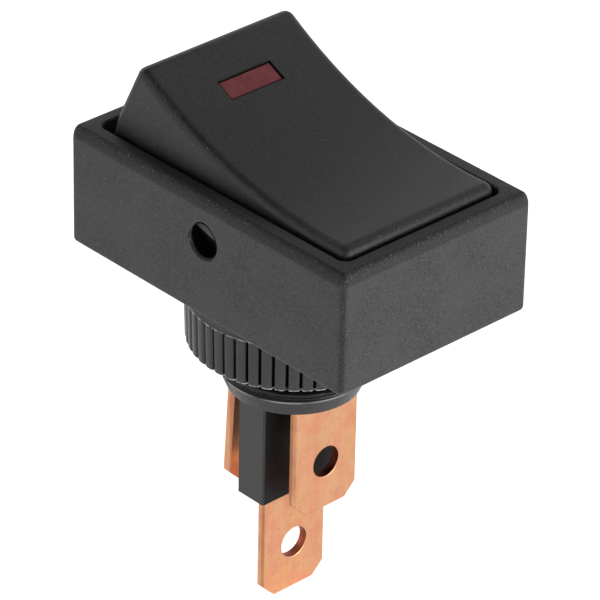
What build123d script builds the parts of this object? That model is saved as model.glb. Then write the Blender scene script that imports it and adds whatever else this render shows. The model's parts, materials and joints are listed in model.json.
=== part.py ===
from build123d import *
import os
from math import asin, cos, pi, radians, sin, sqrt

# A lighted rocker switch for a round panel hole: a rectangular bezel moulded in one
# with its threaded stem, a ribbed ring nut, a rocker with a small red lens, and three
# blade terminals. Millimetres. The origin is on the stem's axis, in the flat underside
# of the bezel that meets the panel. +Z points out of the panel, +X along the bezel
# towards the end of the rocker that is down at rest, and +Y along the rocker's pivot.

# Bezel, moulded in one with the stem
BEZEL_LENGTH = 30.6
BEZEL_WIDTH = 19.3
BEZEL_HEIGHT = 10.25
BEZEL_CORNER_ROUND = 0.65
BEZEL_TOP_ROUND = 0.6
BEZEL_FOOT_BEVEL = 0.25
BEZEL_WALL = 1.55
CAVITY_CORNER_ROUND = 0.8
CAVITY_FLOOR = 1.5
RIM_EDGE_BEVEL = 0.12

# Stem
STEM_RADIUS = 5.9
STEM_BORE_RADIUS = 4.6
STEM_LENGTH = 9.35
STEM_CONE_LENGTH = 1.35
STEM_CONE_STEP = 0.55
STEM_GATE_WIDTH = 0.6
STEM_GATE_DEPTH = 0.35
STEM_GATE_ANGLE = -2.0

# Ring nut
NUT_RADIUS = 8.65
NUT_BOTTOM_RADIUS = 8.5
NUT_HEIGHT = 5.3
NUT_SEAT_GAP = 0.08
NUT_THREAD_PLAY = 0.08
NUT_COLLAR_HEIGHT = 1.0
NUT_COLLAR_STEP = 0.6
NUT_FOOT_CHAMFER = 0.2
NUT_BORE_CHAMFER = 0.3
NUT_RIB_COUNT = 50
NUT_GROOVE_DEPTH = 0.45
NUT_SHOULDER_DROP = 0.07
NUT_SHOULDER_SHARE = 0.13

# Pivot of the rocker
PIVOT_HEIGHT = 6.6
PIVOT_HOLE_RADIUS = 1.425
PIVOT_HOLE_BEVEL = 0.2
PIVOT_PLAY = 0.05
PIVOT_PIN_INSET = 0.55
PIVOT_RAMP_LENGTH = 0.9
PIVOT_TIP_HEIGHT = 0.92

# Rocker, in its own frame: the origin is on the pivot and the rocker is level
ROCKER_TILT = 14.8
ROCKER_SIDE_GAP = 0.35
ROCKER_END_GAP = 0.6
ROCKER_FLOOR_GAP = 0.33
ROCKER_END_LEAN = 11.5
ROCKER_DISH_LOW = 5.7
ROCKER_DISH_RADIUS = 38.0
ROCKER_ROUND = 0.8
ROCKER_WALL = 1.2
ROCKER_WEB_THICKNESS = 1.0
ROCKER_WEB_FOOT = 1.6

# Lens and lamp under it
LENS_FROM_END = 5.85
LENS_LENGTH = 5.4
LENS_WIDTH = 2.0
LENS_GAP = 0.12
LENS_RECESS = 0.1
LENS_EDGE_BEVEL = 0.08
LENS_LEDGE = 0.65
LAMP_RADIUS = 1.5
LAMP_HEIGHT = 3.4
LAMP_FLANGE_RADIUS = 1.9
LAMP_FLANGE_HEIGHT = 0.8
LAMP_PLAY = 0.1
LAMP_LENS_GAP = 0.3
LEAD_SPACING = 2.0
LEAD_THICKNESS = 0.4
LEAD_BEND = 0.5
LEAD_LEVEL = 0.0
LEAD_FOOT_RADIUS = 0.6
LEAD_FOOT_THICKNESS = 0.25
LEAD_FOOT_LEVEL = -1.2
RESISTOR_RADIUS = 0.75
RESISTOR_LENGTH = 3.2
RESISTOR_SIDE = 3.2
RESISTOR_BEVEL = 0.25

# Plunger in the rocker's tube
PLUNGER_RADIUS = 1.1
PLUNGER_PLAY = 0.05
PLUNGER_TIP_RADIUS = 0.85
PLUNGER_TIP_REACH = 11.24
PLUNGER_TIP_LENGTH = 1.6
PLUNGER_TOP = 4.2
PLUNGER_SPRING_WIRE = 0.25
PLUNGER_SPRING_TURNS = 6
PLUNGER_SPRING_GAP = 0.05
TUBE_WALL = 0.6
TUBE_REACH = 6.5

# Contact arm that rocks on the middle terminal
ARM_SWING = 8.0
ARM_WING_ANGLE = 17.0
ARM_WING_LENGTH = 4.1
ARM_WIDTH = 2.8
ARM_THICKNESS = 0.5
ARM_TIP_GAP = 0.2
ARM_SEAT_GAP = 0.03
ARM_EAR_PLAY = 0.25
ARM_WAIST = 1.9
ARM_WAIST_PLAY = 0.06
CONTACT_RADIUS = 0.8
CONTACT_HEIGHT = 0.45
CONTACT_PLACE = 3.25
CONTACT_GAP = 0.06
CONTACT_BEVEL = 0.12
FIXED_CONTACT_RADIUS = 0.9
FIXED_CONTACT_HEIGHT = 0.35

# Blade terminals
BLADE_WIDTH = 6.35
BLADE_THICKNESS = 0.8
BLADE_POINT_WIDTH = 1.1
BLADE_POINT_LENGTH = 1.1
BLADE_HOLE_RADIUS = 1.33
BLADE_HOLE_FROM_END = 4.15
SUPPLY_BLADE_END = 28.6
LOAD_BLADE_END = 19.35
GROUND_BLADE_END = 19.7
LOAD_BLADE_PLACE = 3.45
GROUND_BLADE_PLACE = 3.6
GROUND_BLADE_LEAN = 3.1
SHANK_WIDTH = 3.4
SHOULDER_GAP = 0.05
FLANGE_REACH = 1.1
EAR_WIDTH = 0.6
EAR_HEIGHT = 0.55
RISER_THICKNESS = 0.4
RISER_INNER_SIDE = 2.05
RISER_WIDTH = 1.0
RISER_PLACE = 2.35
RISER_TOP = 1.2
RISER_SEAT_LENGTH = 1.0
LAMP_SPRING_RADIUS = 0.38
LAMP_SPRING_WIRE = 0.2
LAMP_SPRING_TURNS = 5
LAMP_SPRING_GAP = 0.05
COIL_RUNS_PER_TURN = 12

# Terminal base: a plug in the stem's bore and a block between the blades
PLUG_PLAY = 0.05
SLOT_PLAY = 0.03
BLOCK_THICKNESS = 3.0
BLOCK_WIDTH = 8.9
BLOCK_END = 18.6
BLOCK_EDGE_BEVEL = 0.15

# Places worked out from the sizes above
CAVITY_LENGTH = BEZEL_LENGTH - 2 * BEZEL_WALL
CAVITY_WIDTH = BEZEL_WIDTH - 2 * BEZEL_WALL
ROCKER_HALF_WIDTH = CAVITY_WIDTH / 2 - ROCKER_SIDE_GAP
ROCKER_END_RADIUS = CAVITY_LENGTH / 2 - ROCKER_END_GAP
LENS_PLACE = ROCKER_END_RADIUS - LENS_FROM_END
LAMP_SPRING_PLACE = RISER_PLACE + RISER_SEAT_LENGTH / 2
LEAD_FOOT_PLACE = LAMP_SPRING_PLACE / cos(radians(ROCKER_TILT))
PIVOT_DEPTH = PIVOT_HEIGHT - CAVITY_FLOOR
SKIRT_ANGLE = asin((PIVOT_DEPTH - ROCKER_FLOOR_GAP) / ROCKER_END_RADIUS) - radians(ROCKER_TILT)
SKIRT_DROP = ROCKER_END_RADIUS * sin(SKIRT_ANGLE)
DISH_CENTRE = ROCKER_DISH_LOW + ROCKER_DISH_RADIUS
TUBE_RADIUS = PLUNGER_RADIUS + PLUNGER_PLAY
TIP_CENTRE = PLUNGER_TIP_REACH - PLUNGER_TIP_RADIUS
LOW_WING = radians(ARM_WING_ANGLE - ARM_SWING)
TIP_OUT = TIP_CENTRE * sin(radians(ROCKER_TILT))
TIP_DOWN = TIP_CENTRE * cos(radians(ROCKER_TILT))
TIP_STACK = PLUNGER_TIP_RADIUS + ARM_TIP_GAP + ARM_THICKNESS
FULCRUM = PIVOT_HEIGHT - TIP_DOWN - (TIP_STACK + TIP_OUT * sin(LOW_WING)) / cos(LOW_WING)
CLOSED_FACE = FULCRUM + (CONTACT_PLACE - CONTACT_RADIUS) * sin(LOW_WING) - CONTACT_HEIGHT * cos(LOW_WING)
FIXED_CONTACT_TOP = CLOSED_FACE - CONTACT_GAP
FLANGE_TOP = FIXED_CONTACT_TOP - FIXED_CONTACT_HEIGHT
PLUG_TOP = FLANGE_TOP - BLADE_THICKNESS
SHOULDER = -STEM_LENGTH - SHOULDER_GAP


def turned(points):
    """A solid turned about Z from (radius, height) points."""
    section = Plane.XZ * make_face(Polyline(*points, close=True))
    return revolve(section, Axis.Z)


def block(x_range, y_range, z_range):
    """A rectangular block between three pairs of limits."""
    size = [high - low for low, high in (x_range, y_range, z_range)]
    middle = [(high + low) / 2 for low, high in (x_range, y_range, z_range)]
    return Pos(*middle) * Box(*size)


def coil(radius, wire, height, turns):
    """A coil spring that stands on the plane Z = 0, its wire bent in short straight runs."""
    runs = turns * COIL_RUNS_PER_TURN
    rise = (height - wire) / runs
    points = []
    for step in range(runs + 1):
        turn = 2 * pi * step / COIL_RUNS_PER_TURN
        points.append((radius * cos(turn), radius * sin(turn), wire / 2 + rise * step))
    path = Polyline(*points)
    section = Plane(origin=path @ 0, x_dir=(1, 0, 0), z_dir=path % 0) * Rectangle(wire, wire)
    return sweep(section, path=path, transition=Transition.RIGHT)


def bent_wire(points, width, bend):
    """A square wire along straight runs with rounded bends."""
    path = FilletPolyline(*points, radius=bend)
    section = Plane(origin=path @ 0, z_dir=path % 0) * Rectangle(width, width)
    return sweep(section, path=path)


def on_rocker(shape):
    """Takes a shape from the rocker's level frame to its place at rest."""
    return Pos(0, 0, PIVOT_HEIGHT) * Rot(0, ROCKER_TILT, 0) * shape


def on_arm(shape):
    """Takes a shape from the contact arm's level frame to its place at rest."""
    return Pos(0, 0, FULCRUM) * Rot(0, -ARM_SWING, 0) * shape


def pivot_cylinder(radius, length):
    """A cylinder along Y, centred on the origin."""
    return Rot(90, 0, 0) * Cylinder(radius, length)


# Housing

def make_housing():
    """Bezel with its cavity and pivot holes, and the round stem under it."""
    bezel = extrude(RectangleRounded(BEZEL_LENGTH, BEZEL_WIDTH, BEZEL_CORNER_ROUND), BEZEL_HEIGHT)
    bezel = fillet(bezel.faces().sort_by(Axis.Z)[-1].edges(), BEZEL_TOP_ROUND)
    bezel = chamfer(bezel.faces().sort_by(Axis.Z)[0].edges(), BEZEL_FOOT_BEVEL)
    cone_top = STEM_CONE_LENGTH - STEM_LENGTH
    stem = turned([
        (0, CAVITY_FLOOR),
        (STEM_RADIUS, CAVITY_FLOOR),
        (STEM_RADIUS, cone_top),
        (STEM_RADIUS - STEM_CONE_STEP, -STEM_LENGTH),
        (0, -STEM_LENGTH),
    ])
    pocket = RectangleRounded(CAVITY_LENGTH, CAVITY_WIDTH, CAVITY_CORNER_ROUND)
    cavity = Pos(0, 0, CAVITY_FLOOR) * extrude(pocket, BEZEL_HEIGHT)
    body = bezel - cavity
    rim = body.faces().sort_by(Axis.Z)[-1].inner_wires()[0]
    body = chamfer(rim.edges(), RIM_EDGE_BEVEL)
    bore_height = STEM_LENGTH + CAVITY_FLOOR
    bore = Pos(0, 0, (CAVITY_FLOOR - STEM_LENGTH) / 2) * Cylinder(STEM_BORE_RADIUS, 2 * bore_height)
    body = body + stem - bore
    body -= Pos(0, 0, PIVOT_HEIGHT) * pivot_cylinder(PIVOT_HOLE_RADIUS, 2 * BEZEL_WIDTH)
    body = chamfer(outer_hole_edges(body), PIVOT_HOLE_BEVEL)
    gate = Pos(STEM_RADIUS, 0, -STEM_LENGTH) * Box(STEM_RADIUS, STEM_GATE_WIDTH, 2 * STEM_GATE_DEPTH)
    return body - Rot(0, 0, STEM_GATE_ANGLE) * gate


def outer_hole_edges(body):
    """The two pivot hole edges on the outside of the bezel."""
    circles = body.edges().filter_by(GeomType.CIRCLE)
    half = BEZEL_WIDTH / 2
    near_outside = circles.filter_by(lambda edge: abs(abs(edge.center().Y) - half) < PIVOT_PLAY)
    return near_outside.filter_by(lambda edge: abs(edge.radius - PIVOT_HOLE_RADIUS) < PIVOT_PLAY)


# Ring nut

def make_ring_nut():
    """Ring with crowned grip ribs that taper down, a smooth collar and a plain bore."""
    top = -NUT_SEAT_GAP
    bottom = top - NUT_HEIGHT
    blank = loft([rib_section(NUT_RADIUS, top), rib_section(NUT_BOTTOM_RADIUS, bottom)], ruled=True)
    envelope = turned([
        (0, top),
        (NUT_RADIUS - NUT_COLLAR_STEP, top),
        (NUT_RADIUS, top - NUT_COLLAR_HEIGHT),
        (NUT_RADIUS, bottom + NUT_FOOT_CHAMFER),
        (NUT_BOTTOM_RADIUS - NUT_FOOT_CHAMFER, bottom),
        (0, bottom),
    ])
    nut = blank & envelope
    nut -= Pos(0, 0, (top + bottom) / 2) * Cylinder(STEM_RADIUS + NUT_THREAD_PLAY, 2 * NUT_HEIGHT)
    bore_edges = nut.edges().filter_by(GeomType.CIRCLE).filter_by(lambda edge: is_bore_edge(edge))
    return chamfer(bore_edges, NUT_BORE_CHAMFER)


def rib_section(radius, height):
    """Level section of the nut: for each rib a narrow groove, two shoulders and a crown."""
    stations = [
        (0, NUT_GROOVE_DEPTH),
        (NUT_SHOULDER_SHARE, NUT_SHOULDER_DROP),
        (1 / 2, 0),
        (1 - NUT_SHOULDER_SHARE, NUT_SHOULDER_DROP),
    ]
    corners = []
    for rib in range(NUT_RIB_COUNT):
        for share, drop in stations:
            turn = 2 * pi * (rib + share) / NUT_RIB_COUNT
            corners.append(((radius - drop) * cos(turn), (radius - drop) * sin(turn)))
    return Pos(0, 0, height) * make_face(Polyline(*corners, close=True))


def is_bore_edge(edge):
    """True for the two circles at the ends of the nut's bore."""
    return abs(edge.radius - STEM_RADIUS - NUT_THREAD_PLAY) < NUT_THREAD_PLAY / 2


# Rocker

def rocker_outline(inset, foot):
    """The rocker's side view, moved inwards by inset and open or closed at foot."""
    lean = radians(ROCKER_END_LEAN)
    end_radius = ROCKER_END_RADIUS - inset
    dish_radius = ROCKER_DISH_RADIUS + inset
    centre_past_end = DISH_CENTRE * sin(lean) - end_radius
    half_chord = sqrt(dish_radius ** 2 - centre_past_end ** 2)
    ridge_x = -centre_past_end * cos(lean) + half_chord * sin(lean)
    ridge_z = DISH_CENTRE - centre_past_end * sin(lean) - half_chord * cos(lean)
    foot_x = sqrt(end_radius ** 2 - foot ** 2)
    side = [
        (ridge_x, ridge_z),
        (end_radius * cos(lean), end_radius * sin(lean)),
        (end_radius, 0),
        (foot_x, foot),
    ]
    other = [(-x, z) for x, z in side]
    outline = ThreePointArc(other[0], (0, DISH_CENTRE - dish_radius), side[0])
    outline += Line(side[0], side[1]) + ThreePointArc(side[1], side[2], side[3])
    outline += Line(side[3], other[3])
    outline += ThreePointArc(other[3], other[2], other[1]) + Line(other[1], other[0])
    return Plane.XZ * make_face(outline)


def lens_seat():
    """The plane that touches the dished top at the middle of the lens."""
    fall = sqrt(ROCKER_DISH_RADIUS ** 2 - LENS_PLACE ** 2)
    normal = (LENS_PLACE / ROCKER_DISH_RADIUS, 0, fall / ROCKER_DISH_RADIUS)
    along = (normal[2], 0, -normal[0])
    return Plane(origin=(-LENS_PLACE, 0, DISH_CENTRE - fall), x_dir=along, z_dir=normal)


def pivot_pins():
    """Two pins along the pivot, each with a ramp under its end to spring it in."""
    radius = PIVOT_HOLE_RADIUS - PIVOT_PLAY
    tip = BEZEL_WIDTH / 2 - PIVOT_PIN_INSET
    root = ROCKER_HALF_WIDTH - ROCKER_WALL
    ramp = [
        (root, -radius),
        (tip - PIVOT_RAMP_LENGTH, -radius),
        (tip, radius - PIVOT_TIP_HEIGHT),
        (tip, radius),
        (root, radius),
    ]
    prism = extrude(Plane.YZ * make_face(Polyline(*ramp, close=True)), radius, both=True)
    pin = pivot_cylinder(radius, 2 * tip) & prism
    return pin + mirror(pin, Plane.XZ)


def lamp_holder():
    """Block under the top that the lens rests on, before its holes are cut."""
    length = LENS_LENGTH + 2 * LENS_LEDGE
    width = 2 * (LAMP_RADIUS + LAMP_PLAY + LENS_LEDGE)
    depth = ROCKER_WALL + LAMP_LENS_GAP + LAMP_HEIGHT - LAMP_FLANGE_HEIGHT
    overlap = ROCKER_WALL / 2
    return lens_seat() * Pos(0, 0, -(overlap + depth) / 2) * Box(width, length, depth - overlap)


def make_rocker():
    """Hollow rocker with a dished top, pivot pins, plunger tube and lamp holder."""
    body = extrude(rocker_outline(0, -SKIRT_DROP), ROCKER_HALF_WIDTH, both=True)
    upper_edges = body.edges().filter_by(lambda edge: edge.center().Z > -SKIRT_DROP / 2)
    body = fillet(upper_edges, ROCKER_ROUND)
    inner_width = ROCKER_HALF_WIDTH - ROCKER_WALL
    hollow = extrude(rocker_outline(ROCKER_WALL, -2 * SKIRT_DROP), inner_width, both=True)
    tube_top = ROCKER_DISH_LOW - ROCKER_WALL / 2
    tube = Cylinder(TUBE_RADIUS + TUBE_WALL, tube_top + TUBE_REACH)
    tube = Pos(0, 0, (tube_top - TUBE_REACH) / 2) * tube
    web = block(
        (-ROCKER_WEB_THICKNESS / 2, ROCKER_WEB_THICKNESS / 2),
        (-inner_width, inner_width),
        (ROCKER_WEB_FOOT, tube_top),
    )
    body = body - hollow + tube + web + lamp_holder() + pivot_pins()
    tube_bore_top = ROCKER_DISH_LOW - ROCKER_WALL
    tube_bore_length = tube_bore_top + 2 * TUBE_REACH
    body -= Pos(0, 0, tube_bore_top - tube_bore_length / 2) * Cylinder(TUBE_RADIUS, tube_bore_length)
    window = Box(LENS_WIDTH, LENS_LENGTH, 2 * ROCKER_WALL)
    lamp_bore = Cylinder(LAMP_RADIUS + LAMP_PLAY, 2 * LAMP_HEIGHT)
    lamp_bore = Pos(0, 0, -ROCKER_WALL - LAMP_HEIGHT) * lamp_bore
    return body - lens_seat() * window - lens_seat() * lamp_bore


def make_lens():
    """Red lens, a plate that rests on the lamp holder just under the top face."""
    height = ROCKER_WALL - LENS_RECESS
    plate = Box(LENS_WIDTH - 2 * LENS_GAP, LENS_LENGTH - 2 * LENS_GAP, height)
    plate = chamfer(plate.faces().sort_by(Axis.Z)[-1].edges(), LENS_EDGE_BEVEL)
    return on_rocker(lens_seat() * Pos(0, 0, height / 2 - ROCKER_WALL) * plate)


def make_lamp():
    """Light-emitting diode: a domed body with a flange at its foot."""
    top = -ROCKER_WALL - LAMP_LENS_GAP
    straight = LAMP_HEIGHT - LAMP_RADIUS
    body = Pos(0, 0, top - LAMP_HEIGHT + straight / 2) * Cylinder(LAMP_RADIUS, straight)
    body += Pos(0, 0, top - LAMP_RADIUS) * Sphere(LAMP_RADIUS)
    flange_middle = top - LAMP_HEIGHT + LAMP_FLANGE_HEIGHT / 2
    body += Pos(0, 0, flange_middle) * Cylinder(LAMP_FLANGE_RADIUS, LAMP_FLANGE_HEIGHT)
    return on_rocker(lens_seat() * body)


def lamp_foot(side):
    """Point where a lead leaves the lamp, on the -Y or +Y side."""
    depth = ROCKER_WALL + LAMP_LENS_GAP + LAMP_HEIGHT
    return (lens_seat() * Pos(0, side * LEAD_SPACING / 2, -depth)).position


def lead_foot(side):
    """Round foot under the rocker that presses on a lamp spring."""
    middle = LEAD_FOOT_LEVEL + LEAD_FOOT_THICKNESS / 2
    place = Pos(side * LEAD_FOOT_PLACE, side * (RISER_INNER_SIDE + RISER_WIDTH / 2), middle)
    return place * Cylinder(LEAD_FOOT_RADIUS, LEAD_FOOT_THICKNESS)


def make_ground_lead():
    """Lamp lead that ends over the ground terminal's spring."""
    start = lamp_foot(-1)
    side = -(RISER_INNER_SIDE + RISER_WIDTH / 2)
    points = [
        tuple(start),
        (start.X, start.Y, LEAD_LEVEL),
        (-LEAD_FOOT_PLACE, side, LEAD_LEVEL),
        (-LEAD_FOOT_PLACE, side, LEAD_FOOT_LEVEL),
    ]
    return on_rocker(bent_wire(points, LEAD_THICKNESS, LEAD_BEND) + lead_foot(-1))


def make_live_lead():
    """Lamp lead that runs to the resistor."""
    start = lamp_foot(1)
    points = [
        tuple(start),
        (start.X, start.Y, LEAD_LEVEL),
        (start.X + LEAD_SPACING, RESISTOR_SIDE, LEAD_LEVEL),
        (-RESISTOR_LENGTH / 2, RESISTOR_SIDE, LEAD_LEVEL),
    ]
    return on_rocker(bent_wire(points, LEAD_THICKNESS, LEAD_BEND))


def make_resistor():
    """Barrel-shaped resistor beside the tube."""
    barrel = Rot(0, 90, 0) * Cylinder(RESISTOR_RADIUS, RESISTOR_LENGTH)
    barrel = chamfer(barrel.edges().filter_by(GeomType.CIRCLE), RESISTOR_BEVEL)
    return on_rocker(Pos(0, RESISTOR_SIDE, LEAD_LEVEL) * barrel)


def make_resistor_lead():
    """Lead from the resistor that ends over the load terminal's spring."""
    side = RISER_INNER_SIDE + RISER_WIDTH / 2
    points = [
        (RESISTOR_LENGTH / 2, RESISTOR_SIDE, LEAD_LEVEL),
        (LEAD_FOOT_PLACE, side, LEAD_LEVEL),
        (LEAD_FOOT_PLACE, side, LEAD_FOOT_LEVEL),
    ]
    return on_rocker(bent_wire(points, LEAD_THICKNESS, LEAD_BEND) + lead_foot(1))


# Plunger and its spring

def make_plunger():
    """Stepped pin with a ball end that slides in the rocker's tube."""
    body_end = PLUNGER_TIP_REACH - PLUNGER_TIP_LENGTH
    body = Pos(0, 0, -(PLUNGER_TOP + body_end) / 2) * Cylinder(PLUNGER_RADIUS, body_end - PLUNGER_TOP)
    tip = Pos(0, 0, -(body_end + TIP_CENTRE) / 2) * Cylinder(PLUNGER_TIP_RADIUS, TIP_CENTRE - body_end)
    ball = Pos(0, 0, -TIP_CENTRE) * Sphere(PLUNGER_TIP_RADIUS)
    return on_rocker(body + tip + ball)


def make_plunger_spring():
    """Coil spring between the plunger and the closed top of the tube."""
    top = ROCKER_DISH_LOW - ROCKER_WALL - PLUNGER_SPRING_GAP
    height = top + PLUNGER_TOP - PLUNGER_SPRING_GAP
    radius = PLUNGER_RADIUS - PLUNGER_SPRING_WIRE / 2 - PLUNGER_SPRING_GAP
    spring = coil(radius, PLUNGER_SPRING_WIRE, height, PLUNGER_SPRING_TURNS)
    return on_rocker(Pos(0, 0, top - height) * spring)


# Contact arm

def arm_plate():
    """Shallow V of flat strip with a waist between the terminal's two ears."""
    angle = radians(ARM_WING_ANGLE)
    end = (ARM_WING_LENGTH * cos(angle), ARM_WING_LENGTH * sin(angle))
    upper = (end[0] - ARM_THICKNESS * sin(angle), end[1] + ARM_THICKNESS * cos(angle))
    crotch = (0, ARM_THICKNESS / cos(angle))
    points = [(0, 0), end, upper, crotch, (-upper[0], upper[1]), (-end[0], end[1])]
    plate = extrude(Plane.XZ * make_face(Polyline(*points, close=True)), ARM_WIDTH / 2, both=True)
    half_notch = BLADE_THICKNESS / 2 + ARM_EAR_PLAY
    for side in (-1, 1):
        notch_range = sorted((side * ARM_WAIST / 2, side * ARM_WIDTH))
        plate -= block((-half_notch, half_notch), notch_range, (-ARM_THICKNESS, 3 * ARM_THICKNESS))
    return plate


def make_contact_arm():
    """The rocking arm, down on the side of the ground terminal at rest."""
    return on_arm(arm_plate())


def make_moving_contact():
    """Contact button welded under the arm's end."""
    angle = radians(ARM_WING_ANGLE)
    place = (CONTACT_PLACE * cos(angle), 0, CONTACT_PLACE * sin(angle))
    seat = Plane(origin=place, x_dir=(cos(angle), 0, sin(angle)), z_dir=(sin(angle), 0, -cos(angle)))
    button = Pos(0, 0, CONTACT_HEIGHT / 2) * Cylinder(CONTACT_RADIUS, CONTACT_HEIGHT)
    button = chamfer(button.edges().filter_by(GeomType.CIRCLE).sort_by(Axis.Z)[-1], CONTACT_BEVEL)
    return on_arm(seat * button)


def make_fixed_contact():
    """Contact button on the load terminal's flange."""
    place = CONTACT_PLACE * cos(LOW_WING) + CONTACT_HEIGHT * sin(LOW_WING)
    button = Cylinder(FIXED_CONTACT_RADIUS, FIXED_CONTACT_HEIGHT)
    button = chamfer(button.edges().filter_by(GeomType.CIRCLE).sort_by(Axis.Z)[-1], CONTACT_BEVEL)
    return Pos(place, 0, FLANGE_TOP + FIXED_CONTACT_HEIGHT / 2) * button


# Terminals

def blade_outline(shoulder, end):
    """Flat blade seen along X: square shoulders and a pointed lower end."""
    half = BLADE_WIDTH / 2
    tip = half - BLADE_POINT_WIDTH
    neck = -end + BLADE_POINT_LENGTH
    points = [(half, shoulder), (half, neck), (tip, -end), (-tip, -end), (-half, neck), (-half, shoulder)]
    hole = Pos(0, BLADE_HOLE_FROM_END - end) * Circle(BLADE_HOLE_RADIUS)
    return Plane.YZ * (make_face(Polyline(*points, close=True)) - hole)


def make_supply_terminal():
    """Middle terminal, whose top edge and two ears carry the contact arm."""
    blade = extrude(blade_outline(PLUG_TOP, SUPPLY_BLADE_END), BLADE_THICKNESS / 2, both=True)
    seat = FULCRUM - ARM_SEAT_GAP
    half = BLADE_THICKNESS / 2
    ear_side = ARM_WAIST / 2 + ARM_WAIST_PLAY
    neck_side = ear_side + EAR_WIDTH
    blade += block((-half, half), (-neck_side, neck_side), (PLUG_TOP - BLADE_THICKNESS, seat))
    for side in (-1, 1):
        ear_range = sorted((side * ear_side, side * neck_side))
        blade += block((-half, half), ear_range, (seat - EAR_HEIGHT, seat + ARM_THICKNESS + EAR_HEIGHT))
    return blade


def shank(place, width):
    """Straight shank through the plug, with an inward flange on top of it."""
    half = BLADE_THICKNESS / 2
    side = 1 if place > 0 else -1
    upright = block((place - half, place + half), (-width / 2, width / 2), (SHOULDER, FLANGE_TOP))
    inner = side * (abs(place) - half - FLANGE_REACH)
    outer = side * (abs(place) + half)
    flange = block(sorted((inner, outer)), (-width / 2, width / 2), (PLUG_TOP, FLANGE_TOP))
    return upright + flange


def riser(side):
    """Thin strip up the side of the bore, with a seat for a lamp spring on top."""
    near = RISER_INNER_SIDE
    far = RISER_INNER_SIDE + RISER_WIDTH
    x_range = sorted((side * RISER_PLACE, side * (RISER_PLACE + RISER_THICKNESS)))
    seat_range = sorted((side * RISER_PLACE, side * (RISER_PLACE + RISER_SEAT_LENGTH)))
    strip = block(x_range, sorted((side * near, side * far)), (PLUG_TOP, RISER_TOP))
    root = block(x_range, sorted((0, side * far)), (PLUG_TOP, FLANGE_TOP))
    seat = block(seat_range, sorted((side * near, side * far)), (RISER_TOP - RISER_THICKNESS, RISER_TOP))
    return strip + root + seat


def make_load_terminal():
    """Side terminal that carries the fixed contact."""
    blade = Pos(LOAD_BLADE_PLACE, 0, 0) * extrude(
        blade_outline(SHOULDER, LOAD_BLADE_END), BLADE_THICKNESS / 2, both=True)
    return blade + shank(LOAD_BLADE_PLACE, SHANK_WIDTH) + riser(1)


def make_ground_terminal():
    """Side terminal of the lamp, whose blade leans slightly outwards."""
    blade = extrude(blade_outline(0, GROUND_BLADE_END + SHOULDER), BLADE_THICKNESS / 2, both=True)
    leaning = Pos(-GROUND_BLADE_PLACE, 0, SHOULDER) * Rot(0, GROUND_BLADE_LEAN, 0) * blade
    return leaning + shank(-GROUND_BLADE_PLACE, SHANK_WIDTH) + riser(-1)


def make_terminal_base():
    """Round plug in the bore and the block below it, slotted for the blades."""
    plug_height = PLUG_TOP + STEM_LENGTH
    plug = Pos(0, 0, PLUG_TOP - plug_height / 2) * Cylinder(STEM_BORE_RADIUS - PLUG_PLAY, plug_height)
    divider = block(
        (-BLOCK_THICKNESS / 2, BLOCK_THICKNESS / 2),
        (-BLOCK_WIDTH / 2, BLOCK_WIDTH / 2),
        (-BLOCK_END, -STEM_LENGTH),
    )
    divider = chamfer(divider.edges().filter_by(Axis.Z), BLOCK_EDGE_BEVEL)
    base = plug + divider
    half = BLADE_THICKNESS / 2 + SLOT_PLAY
    blade_half = BLADE_WIDTH / 2 + SLOT_PLAY
    base -= block((-half, half), (-blade_half, blade_half), (-SUPPLY_BLADE_END, 0))
    shank_half = SHANK_WIDTH / 2 + SLOT_PLAY
    for place in (LOAD_BLADE_PLACE, -GROUND_BLADE_PLACE):
        base -= block((place - half, place + half), (-shank_half, shank_half), (-SUPPLY_BLADE_END, 0))
    return base


# Lamp springs

def foot_height(side):
    """Height of the lowest point of a lead's foot at rest."""
    tilt = radians(ROCKER_TILT)
    middle = PIVOT_HEIGHT - side * LEAD_FOOT_PLACE * sin(tilt) + LEAD_FOOT_LEVEL * cos(tilt)
    return middle - LEAD_FOOT_RADIUS * sin(tilt)


def make_lamp_spring(side):
    """Coil spring from a riser's seat up to the foot of a lamp lead."""
    height = foot_height(side) - RISER_TOP - LAMP_SPRING_GAP
    spring = coil(LAMP_SPRING_RADIUS, LAMP_SPRING_WIRE, height, LAMP_SPRING_TURNS)
    place = Pos(side * LAMP_SPRING_PLACE, side * (RISER_INNER_SIDE + RISER_WIDTH / 2), RISER_TOP)
    return place * spring


nodes = {
    "housing": make_housing(),
    "ring_nut": make_ring_nut(),
    "rocker": on_rocker(make_rocker()),
    "lens": make_lens(),
    "lamp": make_lamp(),
    "lamp_ground_lead": make_ground_lead(),
    "lamp_live_lead": make_live_lead(),
    "resistor": make_resistor(),
    "resistor_lead": make_resistor_lead(),
    "plunger": make_plunger(),
    "plunger_spring": make_plunger_spring(),
    "contact_arm": make_contact_arm(),
    "moving_contact": make_moving_contact(),
    "fixed_contact": make_fixed_contact(),
    "supply_terminal": make_supply_terminal(),
    "load_terminal": make_load_terminal(),
    "ground_terminal": make_ground_terminal(),
    "terminal_base": make_terminal_base(),
    "load_lamp_spring": make_lamp_spring(1),
    "ground_lamp_spring": make_lamp_spring(-1),
}

os.makedirs("parts", exist_ok=True)
for name, shape in nodes.items():
    export_step(shape, f"parts/{name}.step")
print("heights of fulcrum and plug", round(FULCRUM, 3), round(PLUG_TOP, 3))
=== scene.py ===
# %% [markdown]
# # A lighted rocker switch for a panel
#
# The switch is a rectangular black bezel on a round threaded stem. A dished rocker
# turns in the bezel and carries a small red lens, a ribbed ring nut sits on the stem,
# and three copper blades come out below. The imported solids give every size and place,
# so the first cell loads them and keeps their outer box, which sets the floor's height.

# %% Load the solids
import json
from math import cos, pi, radians, sin

import bmesh
import bpy
import numpy as np
from mathutils import Matrix, Vector


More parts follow.
